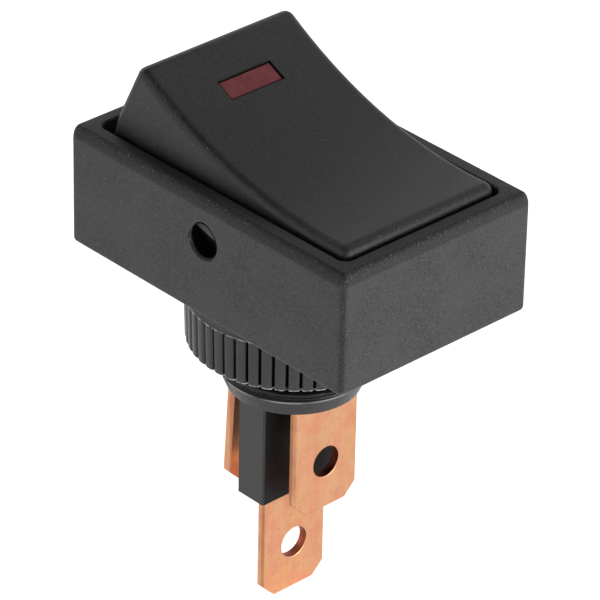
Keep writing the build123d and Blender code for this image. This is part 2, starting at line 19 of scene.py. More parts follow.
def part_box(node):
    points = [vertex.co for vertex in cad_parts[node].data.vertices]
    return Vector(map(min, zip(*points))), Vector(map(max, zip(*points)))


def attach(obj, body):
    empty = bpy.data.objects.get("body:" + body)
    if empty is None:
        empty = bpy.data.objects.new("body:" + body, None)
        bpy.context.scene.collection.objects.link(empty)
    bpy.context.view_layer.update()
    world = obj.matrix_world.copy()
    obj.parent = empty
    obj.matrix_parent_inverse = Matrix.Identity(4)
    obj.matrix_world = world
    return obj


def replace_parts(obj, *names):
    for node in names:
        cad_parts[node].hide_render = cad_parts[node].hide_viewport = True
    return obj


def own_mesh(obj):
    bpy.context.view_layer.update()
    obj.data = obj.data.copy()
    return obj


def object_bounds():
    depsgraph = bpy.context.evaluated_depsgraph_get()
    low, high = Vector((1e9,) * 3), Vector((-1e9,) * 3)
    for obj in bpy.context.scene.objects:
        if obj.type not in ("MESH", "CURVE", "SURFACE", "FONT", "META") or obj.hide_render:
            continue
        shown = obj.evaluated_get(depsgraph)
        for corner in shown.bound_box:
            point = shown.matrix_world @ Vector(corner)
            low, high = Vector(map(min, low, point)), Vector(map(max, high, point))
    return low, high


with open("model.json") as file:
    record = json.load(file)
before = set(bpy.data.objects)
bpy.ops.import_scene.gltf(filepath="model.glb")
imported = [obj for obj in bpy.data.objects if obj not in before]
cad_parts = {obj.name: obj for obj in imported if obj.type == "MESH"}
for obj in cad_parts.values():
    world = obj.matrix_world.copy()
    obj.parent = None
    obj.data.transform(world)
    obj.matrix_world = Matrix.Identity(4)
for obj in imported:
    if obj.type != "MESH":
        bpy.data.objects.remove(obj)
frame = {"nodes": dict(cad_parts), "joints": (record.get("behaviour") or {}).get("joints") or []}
solid_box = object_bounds()
MM = 0.001
print("solids:", sorted(frame["nodes"]))

# %% [markdown]
# ## Sizes that several pieces share
#
# The frame knows where each solid ends and how far each joint moves. What several
# pieces need is read from it here, in millimetres and degrees, so that the finishes and
# the new meshes follow the solids. The rocker's rest pose is half its travel from level.

# %% Shared sizes
JOINTS = {joint["name"]: joint for joint in frame["joints"]}


def top_corner(node):
    """Highest corner of a solid's box at rest, in millimetres."""
    return [round(value / MM, 3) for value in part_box(node)[1]]


*BEZEL_HALF, BEZEL_HEIGHT = top_corner("housing")
PIVOT_HEIGHT = round(JOINTS["rocker_tilt"]["pos_m"][2] / MM, 3)
FULL_TILT = JOINTS["rocker_tilt"]["range_deg"][1]
REST_TILT = FULL_TILT / 2
PLUNGER_TRAVEL = round(JOINTS["plunger_slide"]["range_m"][1] / MM, 3)
print("bezel:", BEZEL_HALF, BEZEL_HEIGHT, "pivot at:", PIVOT_HEIGHT, "tilt:", FULL_TILT)

# %% [markdown]
# ## Camera
#
# A long lens from about 35 cm away gives the nearly parallel edges of a catalogue
# picture. A camera could be aimed at a point, but the picture was taken with a slight
# roll, which aiming would lose. So the camera's own axes are written out, and the three
# are squared up before they become a matrix.

# %% Camera
CAMERA_PLACE = Vector((0.21705, -0.20436, 0.17625))
CAMERA_RIGHT = Vector((0.67816, 0.73469, 0.01843))
CAMERA_BACK = Vector((0.62394, -0.58882, 0.51379))
CAMERA_LENS = 271.34
SENSOR_WIDTH = 36.0


def make_camera():
    """A camera whose rows of axes are right, up and back, squared up in that order."""
    back = CAMERA_BACK.normalized()
    right = (CAMERA_RIGHT - back * CAMERA_RIGHT.dot(back)).normalized()
    up = back.cross(right)
    data = bpy.data.cameras.new("camera")
    data.lens = CAMERA_LENS
    data.sensor_width = SENSOR_WIDTH
    camera = bpy.data.objects.new("camera", data)
    turn = Matrix((right, up, back)).transposed().to_4x4()
    camera.matrix_world = Matrix.Translation(CAMERA_PLACE) @ turn
    bpy.context.scene.collection.objects.link(camera)
    bpy.context.scene.camera = camera
    return camera


print("camera at", tuple(round(value, 3) for value in make_camera().matrix_world.translation))

# %% [markdown]
# ## Helpers for meshes
#
# New pieces are grids of points worked out as whole arrays. A grid that closes on
# itself both ways is a ring-like body with no open edge, so it needs no caps. A packed
# solid arrives as loose triangles, so a copy is merged before it is changed, and its
# edges are marked sharp by angle so that round faces shade smoothly.

# %% Mesh helpers
SAME_POINT = 0.0005 * MM
ON_PLANE = 0.0001 * MM


def add_piece(name, mesh, body):
    """Puts a mesh into the scene at the origin, riding on a body."""
    piece = bpy.data.objects.new(name, mesh)
    bpy.context.scene.collection.objects.link(piece)
    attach(piece, body)
    return piece


def smooth_by_angle(mesh, angle):
    """Shades every face smoothly and keeps edges over the angle, in degrees, sharp."""
    mesh.polygons.foreach_set("use_smooth", np.ones(len(mesh.polygons), bool))
    mesh.set_sharp_from_angle(angle=radians(angle))
    mesh.update()


def rework(mesh, change):
    """Runs a change, a function of the editable mesh, and writes the result back."""
    work = bmesh.new()
    work.from_mesh(mesh)
    change(work)
    work.to_mesh(mesh)
    work.free()


def face_outwards(work):
    """Turns every face of a closed mesh outwards."""
    bmesh.ops.recalc_face_normals(work, faces=work.faces)


def merge_and_face(work):
    """Joins points that share a place and turns the faces outwards."""
    bmesh.ops.remove_doubles(work, verts=work.verts, dist=SAME_POINT)
    face_outwards(work)


def drop_empty_faces(work):
    """Joins points that share a place and drops faces that have no area left."""
    bmesh.ops.remove_doubles(work, verts=work.verts, dist=SAME_POINT)
    bmesh.ops.dissolve_degenerate(work, edges=work.edges, dist=SAME_POINT)


def ring_grid(name, points):
    """A closed mesh from points[around, along], joined end to end both ways."""
    around, along = points.shape[:2]
    index = np.arange(around * along).reshape(around, along)
    next_around = np.roll(index, -1, axis=0)
    next_along = np.roll(index, -1, axis=1)
    corner = np.roll(next_around, -1, axis=1)
    quads = np.stack([index, next_around, corner, next_along], axis=-1).reshape(-1, 4)
    mesh = bpy.data.meshes.new(name)
    mesh.from_pydata(points.reshape(-1, 3).tolist(), [], quads.tolist())
    mesh.validate()
    rework(mesh, face_outwards)
    return mesh


def merged_copy(node, name, angle=30):
    """A merged copy of a solid that stands for it, with its round faces smooth."""
    mesh = frame["nodes"][node].data.copy()
    mesh.name = name
    mesh.materials.clear()
    if "custom_normal" in mesh.attributes:
        mesh.attributes.remove(mesh.attributes["custom_normal"])
    rework(mesh, merge_and_face)
    smooth_by_angle(mesh, angle)
    return mesh


def points_of(mesh):
    """The mesh's points as an array of rows of x, y and z, in metres."""
    flat = np.empty(len(mesh.vertices) * 3, np.float32)
    mesh.vertices.foreach_get("co", flat)
    return flat.reshape(-1, 3).astype(float)


def set_points(mesh, points):
    """Writes an array of rows of x, y and z back into the mesh."""
    mesh.vertices.foreach_set("co", points.astype(np.float32).ravel())
    mesh.update()


print("mesh helpers ready")

# %% [markdown]
# ## Helpers for materials
#
# Every finish starts from one shader. Its colour, roughness and bump come from noise
# that reads the piece's own coordinates, so the pattern stays with the piece when it
# moves. Masks say where a tone applies. One made from the surface direction finds the
# rounded edges: on a flat face the largest part of the direction is 1, and on a rounding
# it is less. Others are made from a height or a distance in the piece's own coordinates.

# %% Material helpers
MIDDLE = (0.35, 0.65)
WIDE_MIDDLE = (0.3, 0.7)
LEVEL_PART = (0.12, 0.05)


class Finish:
    """A material with one shader and short calls that add and link its nodes."""

    def __init__(self, name, roughness, metallic=0.0, specular=0.5):
        self.material = bpy.data.materials.new(name)
        self.material.use_nodes = True
        self.tree = self.material.node_tree
        self.shader = self.tree.nodes["Principled BSDF"]
        self.shader.inputs["Roughness"].default_value = roughness
        self.shader.inputs["Metallic"].default_value = metallic
        self.shader.inputs["Specular IOR Level"].default_value = specular

    def node(self, kind, **settings):
        """A new node with its plain settings given by name."""
        made = self.tree.nodes.new(kind)
        for key, value in settings.items():
            setattr(made, key, value)
        return made

    def link(self, source, target):
        """Joins an output to an input, or sets the input to a plain number."""
        if isinstance(source, (int, float)):
            target.default_value = source
        else:
            self.tree.links.new(source, target)

    def place(self):
        """The piece's own coordinates."""
        return self.node("ShaderNodeTexCoord").outputs["Object"]

    def parts(self, source):
        """The x, y and z parts of a place or a direction."""
        split = self.node("ShaderNodeSeparateXYZ")
        self.link(source, split.inputs[0])
        return split.outputs

    def axis(self, name):
        """One of the piece's own coordinates, in metres."""
        return self.parts(self.place())[name]

    def facing(self):
        """The parts of the surface direction."""
        return self.parts(self.node("ShaderNodeNewGeometry").outputs["Normal"])

    def math(self, operation, first, second=0.0):
        """One arithmetic step."""
        step = self.node("ShaderNodeMath", operation=operation)
        self.link(first, step.inputs[0])
        self.link(second, step.inputs[1])
        return step.outputs[0]

    def times(self, first, second):
        """Product of two values."""
        return self.math("MULTIPLY", first, second)

    def distance(self, first, second):
        """Square root of the sum of two squares."""
        squares = self.math("ADD", self.math("POWER", first, 2.0), self.math("POWER", second, 2.0))
        return self.math("POWER", squares, 0.5)

    def above(self, level):
        """Height over a level given in millimetres."""
        return self.math("SUBTRACT", self.axis("Z"), level * MM)

    def noise(self, size, detail=3.0, stretch=(1, 1, 1)):
        """Noise whose lumps are about size millimetres across, from 0 to 1."""
        mapping = self.node("ShaderNodeMapping")
        mapping.inputs["Scale"].default_value = stretch
        self.link(self.place(), mapping.inputs["Vector"])
        texture = self.node("ShaderNodeTexNoise")
        texture.inputs["Scale"].default_value = 1.0 / (size * MM)
        texture.inputs["Detail"].default_value = detail
        self.link(mapping.outputs[0], texture.inputs["Vector"])
        return texture.outputs["Fac"]

    def spread(self, value, low, high, new_low=0.0, new_high=1.0):
        """Carries a value from one range to another and holds it inside."""
        step = self.node("ShaderNodeMapRange")
        step.clamp = True
        numbers = (low, high, new_low, new_high)
        for key, number in zip(("From Min", "From Max", "To Min", "To Max"), numbers):
            step.inputs[key].default_value = number
        self.link(value, step.inputs["Value"])
        return step.outputs[0]

    def fade(self, value, start, end):
        """0 where a length is start and 1 where it is end, both in millimetres."""
        return self.spread(value, start * MM, end * MM)

    def blend(self, factor, first, second):
        """A colour between two colours, each a linear triple or an output."""
        mix = self.node("ShaderNodeMix", data_type="RGBA")
        self.link(factor, mix.inputs["Factor"])
        for source, target in ((first, mix.inputs[6]), (second, mix.inputs[7])):
            if isinstance(source, tuple):
                target.default_value = (*source, 1.0)
            else:
                self.tree.links.new(source, target)
        return mix.outputs[2]

    def edge_mask(self, low=0.985, high=0.75):
        """0 on faces square to the axes and 1 on rounded edges between them."""
        facing = self.facing()
        sizes = [self.math("ABSOLUTE", facing[key]) for key in "XYZ"]
        largest = self.math("MAXIMUM", self.math("MAXIMUM", sizes[0], sizes[1]), sizes[2])
        return self.spread(largest, low, high)

    def upright_mask(self):
        """1 where the surface looks to a side, and 0 where it looks up or down."""
        return self.spread(self.math("ABSOLUTE", self.facing()["Z"]), *LEVEL_PART)

    def top_round_mask(self, flat, full):
        """1 on roundings that look upwards, and 0 on upright faces and where the upward
        part of the direction is more than flat."""
        rise = self.facing()["Z"]
        return self.times(self.spread(rise, *reversed(LEVEL_PART)), self.spread(rise, flat, full))

    def colour(self, source):
        """Sets or links the base colour."""
        target = self.shader.inputs["Base Color"]
        if isinstance(source, tuple):
            target.default_value = (*source, 1.0)
        else:
            self.tree.links.new(source, target)

    def bump(self, height, depth):
        """Raises the surface by height times depth millimetres."""
        bump = self.node("ShaderNodeBump")
        bump.inputs["Distance"].default_value = depth * MM
        self.link(height, bump.inputs["Height"])
        self.tree.links.new(bump.outputs[0], self.shader.inputs["Normal"])


def grey(level):
    """A neutral linear colour for a grey written as a screen value from 0 to 255."""
    linear = ((level / 255 + 0.055) / 1.055) ** 2.4
    return (linear, linear, linear)


print("material helpers ready")

# %% [markdown]
# ## Black moulded plastic
#
# The mouldings are black plastic with the fine grain of an etched mould. The grain could
# be modelled, but it is far below a tenth of a millimetre, so it is bump. Two sizes of
# noise make the bump, and a broad noise shifts the tone very slightly. Bright specks sit
# mostly on the rounded edges: partly dust and worn grain, where handling rubs first, and
# partly painted glints of light. Roundings that look up can get a painted shade. Each
# moulding adds masks of its own: one for a painted shade, which makes the plastic nearly
# black in hollows and on faces the light hardly reaches, and one for painted highlights,
# bright lines where light glints on edges.

# %% Plastic finish
# Tones of the painted shade, the painted highlights, and specks that are partly dust and partly painted
# glints.
PAINTED_SHADE_TONE = 10
PAINTED_HIGHLIGHT_TONE = 170
DUST_AND_GLINT_TONE = 150
BROAD_SIZE = 3.0
PATCH_SIZE = 1.6
PATCH_LIMIT = (0.36, 0.50)
SPECK_SIZE = 0.14
SPECK_LIMIT = (0.62, 0.70)
FAINT_DUST_SIZE = 0.11
FAINT_DUST_LIMIT = (0.64, 0.72)
FAINT_DUST = 0.3
UPRIGHT_SPECKS = 0.5
# Share of the tone left under the painted shade on roundings that look up.
ROUND_SHADE_SHARE = 0.5
ROUGHNESS_SWING = 0.04


def dust_and_glints(finish, specks, edge):
    """Specks where fine noise passes a limit, partly dust and partly painted glints: strong
    on roundings and in patches, half as strong on upright roundings, and faint elsewhere."""
    speckle = finish.spread(finish.noise(SPECK_SIZE, 1.0), *SPECK_LIMIT)
    patches = finish.spread(finish.noise(PATCH_SIZE, 2.0), *PATCH_LIMIT)
    where = finish.times(finish.edge_mask(*edge), patches)
    where = finish.times(where, finish.spread(finish.upright_mask(), 0.0, 1.0, 1.0, UPRIGHT_SPECKS))
    amount = finish.times(finish.times(speckle, where), specks)
    faint = finish.spread(finish.noise(FAINT_DUST_SIZE, 1.0), *FAINT_DUST_LIMIT)
    return finish.math("MAXIMUM", amount, finish.times(faint, FAINT_DUST * specks))


def plastic(name, tone, roughness=0.5, contrast=0.16, grain=0.16, depth=0.012, specks=1.0,
            specular=0.2, edge=(0.985, 0.75), painted_shade=None, round_shade=0.0, round_top=(0.99, 0.95),
            painted_highlight=None):
    """Black plastic: grain from fine noise, specks that are partly dust and partly painted
    glints, a painted shade on roundings that look up, a painted near-black shade where the
    given shade mask, a function of the finish, gives 1, and a painted bright highlight
    where the given highlight mask gives 1."""
    finish = Finish(name, roughness, specular=specular)
    fine = finish.noise(grain, 2.0)
    broad = finish.noise(BROAD_SIZE, 2.0)
    low = finish.blend(finish.spread(broad, *MIDDLE), grey(tone * (1 - contrast)), grey(tone))
    mottled = finish.blend(finish.spread(fine, *MIDDLE), low, grey(tone * (1 + contrast)))
    # Painted shade on roundings that look up.
    shade = finish.times(finish.top_round_mask(*round_top), round_shade)
    body = finish.blend(shade, mottled, grey(tone * ROUND_SHADE_SHARE))
    # Specks: partly dust, partly painted glints of light on the roundings.
    body = finish.blend(dust_and_glints(finish, specks, edge), body, grey(DUST_AND_GLINT_TONE))
    # Painted shade: near black where the shade mask gives 1.
    if painted_shade:
        body = finish.blend(painted_shade(finish), body, grey(PAINTED_SHADE_TONE))
    # Painted highlight: bright grey where the highlight mask gives 1.
    if painted_highlight:
        body = finish.blend(painted_highlight(finish), body, grey(PAINTED_HIGHLIGHT_TONE))
    finish.colour(body)
    rough = finish.spread(broad, *WIDE_MIDDLE, roughness - ROUGHNESS_SWING, roughness + ROUGHNESS_SWING)
    finish.link(rough, finish.shader.inputs["Roughness"])
    finish.bump(finish.math("ADD", fine, finish.noise(grain / 3, 2.0)), depth)
    return finish.material


def level_line(finish, level, reach):
    """0 from reach on and 1 within half of it, measured from a height, in millimetres."""
    return finish.fade(finish.math("ABSOLUTE", finish.above(level)), reach, reach / 2)


def off_middle(finish):
    """Distance from the middle plane along the switch."""
    return finish.math("ABSOLUTE", finish.axis("Y"))


print("plastic finish ready")

# %% [markdown]
# ## Copper
#
# The blades are stamped from bare copper strip. Rolling leaves faint streaks along the
# strip, air leaves soft patches and dots of a darker red, and the punched edge shows a
# bright sheared band beside a duller torn band. The bands could be faces of their own
# with a second material, but a mask in one material keeps the edge soft and the mesh
# plain. The band follows the blade's thickness, so it reads one coordinate measured from
# the middle of the strip. The wall of the hole gets a painted shade of dark red, and it
# is found by its distance from the hole's own axis.

# %% Copper finish
BODY_DARK = (0.80, 0.34, 0.195)
BODY_LIGHT = (0.88, 0.47, 0.225)
STREAK = (0.96, 0.56, 0.36)
STREAK_SHARE = 0.3
DOT = (0.62, 0.26, 0.14)
DOT_SHARE = 0.35
TORN = (0.45, 0.19, 0.10)
TORN_SHARE = 0.45
# Dark red painted shade on the wall of the hole.
HOLE_WALL_SHADE = (0.34, 0.09, 0.05)
HOLE_REACH = (1.42, 1.36)
TORN_BAND = (-0.02, 0.06)
AIR_PATCH_SIZE = 1.7
AIR_PATCH_LIMIT = (0.38, 0.66)
STREAK_SIZE = 0.5
ALONG_BLADE = (1, 1, 0.12)
DOT_SIZE = 0.32
DOT_LIMIT = (0.56, 0.70)
EDGE_FACING = (0.6, 0.3)
TORN_ROUGHNESS = 0.2


def copper(name, middle, hole_level, torn_side, roughness=0.34):
    """Copper strip around x = middle with a hole at hole_level, in millimetres. The torn
    band lies towards +X where torn_side is 1 and towards -X where it is -1. The hole's
    wall gets a painted shade of dark red."""
    finish = Finish(name, roughness, metallic=1.0)
    patches = finish.spread(finish.noise(AIR_PATCH_SIZE, 5.0), *AIR_PATCH_LIMIT)
    streaks = finish.spread(finish.noise(STREAK_SIZE, 3.0, stretch=ALONG_BLADE), *WIDE_MIDDLE)
    dots = finish.spread(finish.noise(DOT_SIZE, 2.0), *DOT_LIMIT, 0.0, DOT_SHARE)
    body = finish.blend(patches, BODY_DARK, BODY_LIGHT)
    body = finish.blend(finish.times(streaks, STREAK_SHARE), body, STREAK)
    body = finish.blend(dots, body, DOT)
    on_edge = finish.spread(finish.math("ABSOLUTE", finish.facing()["X"]), *EDGE_FACING)
    offset = finish.math("SUBTRACT", finish.axis("X"), middle * MM)
    torn_edge = finish.times(finish.fade(finish.times(offset, torn_side), *TORN_BAND), on_edge)
    body = finish.blend(finish.times(torn_edge, TORN_SHARE), body, TORN)
    # Painted shade of dark red on the hole's wall, found by the distance from the hole's axis.
    from_hole = finish.distance(finish.axis("Y"), finish.above(hole_level))
    wall_shade = finish.times(finish.fade(from_hole, *HOLE_REACH), on_edge)
    finish.colour(finish.blend(wall_shade, body, HOLE_WALL_SHADE))
    rough = finish.spread(patches, 0.0, 1.0, roughness + 0.1, roughness - 0.04)
    finish.link(finish.math("ADD", rough, finish.times(torn_edge, TORN_ROUGHNESS)),
                finish.shader.inputs["Roughness"])
    finish.bump(finish.math("ADD", finish.noise(0.12, 4.0), finish.times(streaks, 0.5)), 0.006)
    return finish.material


print("copper finish ready")

# %% [markdown]
# ## Housing
#
# The bezel and the stem are one moulding. The bezel keeps its solid form, with two of
# its edges softened: the rounding round the top is a long oval rather than a quarter
# circle, and the small bevel at the foot becomes a rounding. Both could be modelled
# again as a bevel, but moving the copy's points by a formula keeps every other face.
# The stem's outer points are drawn in, to leave room for the threaded sleeve.

# %% Housing
STEM_RADIUS = 5.9
STEM_CORE = 5.15
STEM_STRAIGHT_END = -8.0
UNDER_SLEEVE = 0.05
NEAR = 0.01
TOP_ROUND = 0.6
TOP_ROUND_DEPTH = 1.15
CORNER_ROUND = 0.65
FOOT_ROUND = 0.4
FOOT_STEPS = 6
PIVOT_HOLE_SHADE = (1.50, 1.45)
PIVOT_HOLE_DEPTH = (0.1, 0.2)
CORNER_FACING = (0.96, 0.84)
CORNER_SHADE = 0.4


def painted_pivot_shade(finish):
    """Painted shade inside the pivot holes: 1 within their radius of the axis and below the face."""
    inside = finish.fade(finish.distance(finish.axis("X"), finish.above(PIVOT_HEIGHT)), *PIVOT_HOLE_SHADE)
    start, end = (BEZEL_HALF[1] - depth for depth in PIVOT_HOLE_DEPTH)
    return finish.times(inside, finish.fade(off_middle(finish), start, end))


def bezel_painted_shade(finish):
    """The pivot holes' painted shade, and part of that painted shade on the bezel's upright corners."""
    corner = finish.times(finish.edge_mask(*CORNER_FACING), finish.upright_mask())
    return finish.math("MAXIMUM", painted_pivot_shade(finish), finish.times(corner, CORNER_SHADE))


def cut_foot(work):
    """Cuts rows of points into the foot, one at each step of its rounding."""
    for level in np.linspace(0, FOOT_ROUND, FOOT_STEPS)[1:]:
        everything = work.verts[:] + work.edges[:] + work.faces[:]
        bmesh.ops.bisect_plane(work, geom=everything, dist=ON_PLANE,
                               plane_co=(0, 0, level * MM), plane_no=(0, 0, 1))


def round_foot(points):
    """The points with the foot's outer ones drawn in. At height z the inset from the
    side is r - sqrt(r ** 2 - (r - z) ** 2), along the corner's own radius."""
    flat, height = points[:, :2] / MM, points[:, 2] / MM
    core = np.array(BEZEL_HALF) - CORNER_ROUND
    nearest = np.clip(flat, -core, core)
    out = flat - nearest
    reach = np.linalg.norm(out, axis=1)
    on_foot = (reach > CORNER_ROUND / 2) & (height > -NEAR) & (height < FOOT_ROUND + NEAR)
    left = FOOT_ROUND - np.clip(height, 0, FOOT_ROUND)
    inset = FOOT_ROUND - np.sqrt(FOOT_ROUND ** 2 - left ** 2)
    share = (CORNER_ROUND - inset) / np.maximum(reach, NEAR)
    drawn_in = np.column_stack([nearest + out * share[:, None], height]) * MM
    return np.where(on_foot[:, None], drawn_in, points)


def lengthen_top_round(points):
    """The points with the drop of each one on the top rounding scaled, so that the
    rounding is TOP_ROUND wide and TOP_ROUND_DEPTH high."""
    height = points[:, 2] / MM
    outer = (np.abs(points[:, :2]) / MM > np.array(BEZEL_HALF) - TOP_ROUND - NEAR).any(axis=1)
    drop = BEZEL_HEIGHT - height
    lowered = BEZEL_HEIGHT - drop * TOP_ROUND_DEPTH / TOP_ROUND
    changed = np.where(outer & (drop < TOP_ROUND + NEAR), lowered, height) * MM
    return np.column_stack([points[:, :2], changed])


def draw_in_stem(points):
    """The points with those on the stem's straight outside moved in under the sleeve."""
    radius = np.hypot(points[:, 0], points[:, 1]) / MM
    height = points[:, 2] / MM
    straight = (height < NEAR) & (height > STEM_STRAIGHT_END - NEAR)
    on_stem = straight & (np.abs(radius - STEM_RADIUS) < 2 * NEAR)
    factor = np.where(on_stem, (STEM_CORE - UNDER_SLEEVE) / np.maximum(radius, NEAR), 1.0)
    print("stem points drawn in:", int(on_stem.sum()))
    return np.column_stack([points[:, :2] * factor[:, None], points[:, 2]])


def make_housing():
    """Merged copy of the housing with its softened edges and its narrower stem."""
    mesh = merged_copy("housing", "bezel_and_stem")
    rework(mesh, cut_foot)
    set_points(mesh, round_foot(points_of(mesh)))
    smooth_by_angle(mesh, 30)
    set_points(mesh, lengthen_top_round(draw_in_stem(points_of(mesh))))
    # Painted shade in the pivot holes, on the upright corners and on the roundings that look up.
    mesh.materials.append(plastic("bezel_plastic", 62, contrast=0.22, grain=0.13, specks=0.6,
                                  painted_shade=bezel_painted_shade, round_shade=0.55))
    piece = add_piece("bezel_and_stem", mesh, "base")
    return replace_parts(piece, "housing")


print("housing faces:", len(make_housing().data.polygons))

# %% [markdown]
# ## Thread
#
# The stem's thread is a sleeve round the narrowed stem. A screw modifier would leave
# open ends, so the sleeve is one closed grid whose radius is worked out from the angle
# and the height: a wave that climbs one pitch each turn, flat at crest and root, and
# faded out at the lower end, where the stem narrows to a short cone. A painted shade
# makes the thread dark, and a painted highlight lies on the corner where it meets the cone.

# %% Thread
THREAD_ROOT = 5.42
THREAD_PITCH = 1.0
THREAD_STEPS = 128
THREAD_ROWS = 161
THREAD_START = -0.02
CREST_SHARE = 0.22
FLANK_SHARE = 0.56
CONE_END = -9.35
CONE_END_RADIUS = 5.35
CONE_CHAMFER = 0.2
# Where the thread's painted shade fades out.
THREAD_SHADE_END = (0.02, 0.08)
# Band and noise of the painted highlight where the thread meets the cone.
THREAD_HIGHLIGHT_BAND = 0.07
THREAD_HIGHLIGHT_SIZE = 2.6
THREAD_HIGHLIGHT_LIMIT = (0.40, 0.56)
THREAD_HIGHLIGHT_SHARE = (0.05, 0.8)


def painted_thread_shade(finish):
    """1 on the thread, where a painted shade makes it dark, and 0 on the cone below it."""
    return finish.fade(finish.axis("Z"), *(STEM_STRAIGHT_END + step for step in THREAD_SHADE_END))


def painted_thread_highlight(finish):
    """1 on the corner where the thread meets the cone, for a painted highlight, broken up by noise."""
    broken = finish.spread(finish.noise(THREAD_HIGHLIGHT_SIZE, 2.0), *THREAD_HIGHLIGHT_LIMIT, *THREAD_HIGHLIGHT_SHARE)
    return finish.times(level_line(finish, STEM_STRAIGHT_END, THREAD_HIGHLIGHT_BAND), broken)


def thread_sleeve():
    """Radius = crest - depth * wave * fade. The wave is a ramp up and down in
    (height / pitch - turn), cut flat at both ends, and the fade takes half a pitch."""
    turn = np.arange(THREAD_STEPS) / THREAD_STEPS
    heights = np.linspace(THREAD_START, STEM_STRAIGHT_END, THREAD_ROWS)
    phase = (heights[None, :] / THREAD_PITCH + turn[:, None]) % 1.0
    wave = np.clip((np.abs(phase * 2 - 1) - CREST_SHARE) / FLANK_SHARE, 0, 1)
    fade = np.clip((heights - STEM_STRAIGHT_END) / (0.5 * THREAD_PITCH), 0, 1)
    radius = STEM_RADIUS - (STEM_RADIUS - THREAD_ROOT) * wave * fade[None, :]
    cone = np.array([CONE_END_RADIUS, STEM_CORE, STEM_CORE])
    radius = np.hstack([radius, np.tile(cone, (THREAD_STEPS, 1))])
    heights = np.concatenate([heights, [CONE_END, CONE_END + CONE_CHAMFER, THREAD_START]])
    angle = 2 * pi * turn[:, None]
    tall = np.broadcast_to(heights[None, :], radius.shape)
    return np.stack([radius * np.cos(angle), radius * np.sin(angle), tall], axis=-1) * MM


def make_thread():
    """The threaded sleeve over the stem."""
    mesh = ring_grid("stem_thread", thread_sleeve())
    smooth_by_angle(mesh, 50)
    # Painted shade on the thread, and a painted highlight where it meets the cone.
    mesh.materials.append(plastic("thread_plastic", 38, roughness=0.28, specks=0.0, specular=0.4,
                                  painted_shade=painted_thread_shade, painted_highlight=painted_thread_highlight))
    return add_piece("stem_thread", mesh, "base")


print("thread faces:", len(make_thread().data.polygons))

# %% [markdown]
# ## Ring nut
#
# The nut's grip is a ring of flat ribs with narrow grooves between them. The grooves
# could be cut one by one from a turned blank, which leaves long thin faces. Here the nut's
# section is carried round the axis, and at every angle the radius is the smaller of
# the section and the ribs' outline. The grooves stop under the smooth collar and run
# out through the small rounding at the foot, which leaves each rib a rounded end.
# Painted highlights brighten the ribs' ends and the line under the collar, and a painted shade makes the
# grooves dark.

# %% Ring nut
NUT_RIBS = 50
NUT_RADIUS = 8.65
NUT_FOOT_RADIUS = 8.5
NUT_TOP = -0.08
NUT_HEIGHT = 5.3
NUT_FOOT = NUT_TOP - NUT_HEIGHT
NUT_BORE = 5.98
NUT_BORE_BEVEL = 0.3
NUT_FOOT_ROUND = 0.22
COLLAR_RADIUS = 8.05
COLLAR_HEIGHT = 1.32
COLLAR_END = NUT_TOP - COLLAR_HEIGHT
OUTER_SIDE = NUT_BORE + 1.0
CONE_ROWS = 8
SIDE_ROWS = 9
FOOT_ROWS = 7
GROOVE_STOP = (0.012, 0.05)
RIB_CROWN = 0.05
GROOVE_DEPTH = 0.42
GROOVE_SHARPNESS = 7.0
STEPS_PER_RIB = 20
GROOVE_SHADE = (0.23, 0.35)
GROOVE_TOP = (0.04, -0.06)
RIB_END_BAND = (0.18, 0.11)
COLLAR_BAND = 0.05
# Size and limit of the noise that breaks up the painted highlights.
NUT_GLINT_SIZE = 0.5
NUT_GLINT_LIMIT = (0.42, 0.50)


def nut_groove_shade(finish):
    """1 in the grooves of the ring nut and inside it, below its collar, for a painted shade."""
    radius = finish.distance(finish.axis("X"), finish.axis("Y"))
    inside = finish.fade(radius, *(NUT_RADIUS - depth for depth in GROOVE_SHADE))
    return finish.times(inside, finish.fade(finish.axis("Z"), *(COLLAR_END + step for step in GROOVE_TOP)))


def rib_end_highlights(finish):
    """1 on the lowest rounding of the nut's ribs and on the line under its collar, where
    painted highlights make them bright."""
    low = finish.fade(finish.axis("Z"), *(NUT_FOOT + step for step in RIB_END_BAND))
    lines = finish.math("MAXIMUM", low, level_line(finish, COLLAR_END, COLLAR_BAND))
    return finish.times(lines, finish.spread(finish.noise(NUT_GLINT_SIZE, 2.0), *NUT_GLINT_LIMIT))


def rounding(centre, radius, start, end, steps):
    """Rows of radius and height on an arc round a centre, angles in degrees."""
    angle = np.radians(np.linspace(start, end, steps))
    return np.stack([centre[0] + radius * np.cos(angle), centre[1] + radius * np.sin(angle)], axis=1)


def nut_profile():
    """Rows of radius and height once round the nut's section: the cone of the collar,
    the outside, the rounding at the foot, the bore and back to the top face."""
    share = np.linspace(0, 1, CONE_ROWS)[:, None]
    collar = np.array([[NUT_RADIUS, COLLAR_END]])
    cone = np.array([[COLLAR_RADIUS, NUT_TOP]]) * (1 - share) + collar * share
    foot_centre = (NUT_FOOT_RADIUS - NUT_FOOT_ROUND, NUT_FOOT + NUT_FOOT_ROUND)
    foot = rounding(foot_centre, NUT_FOOT_ROUND, 0, -90, FOOT_ROWS)
    side = np.concatenate([GROOVE_STOP, np.linspace(0, 1, SIDE_ROWS)[1:-1]])[:, None]
    outside = collar * (1 - side) + foot[0] * side
    bore = np.array([
        [NUT_BORE + NUT_BORE_BEVEL, NUT_FOOT],
        [NUT_BORE, NUT_FOOT + NUT_BORE_BEVEL],
        [NUT_BORE, NUT_TOP - NUT_BORE_BEVEL],
        [NUT_BORE + NUT_BORE_BEVEL, NUT_TOP],
    ])
    return np.vstack([cone, outside, foot, bore])


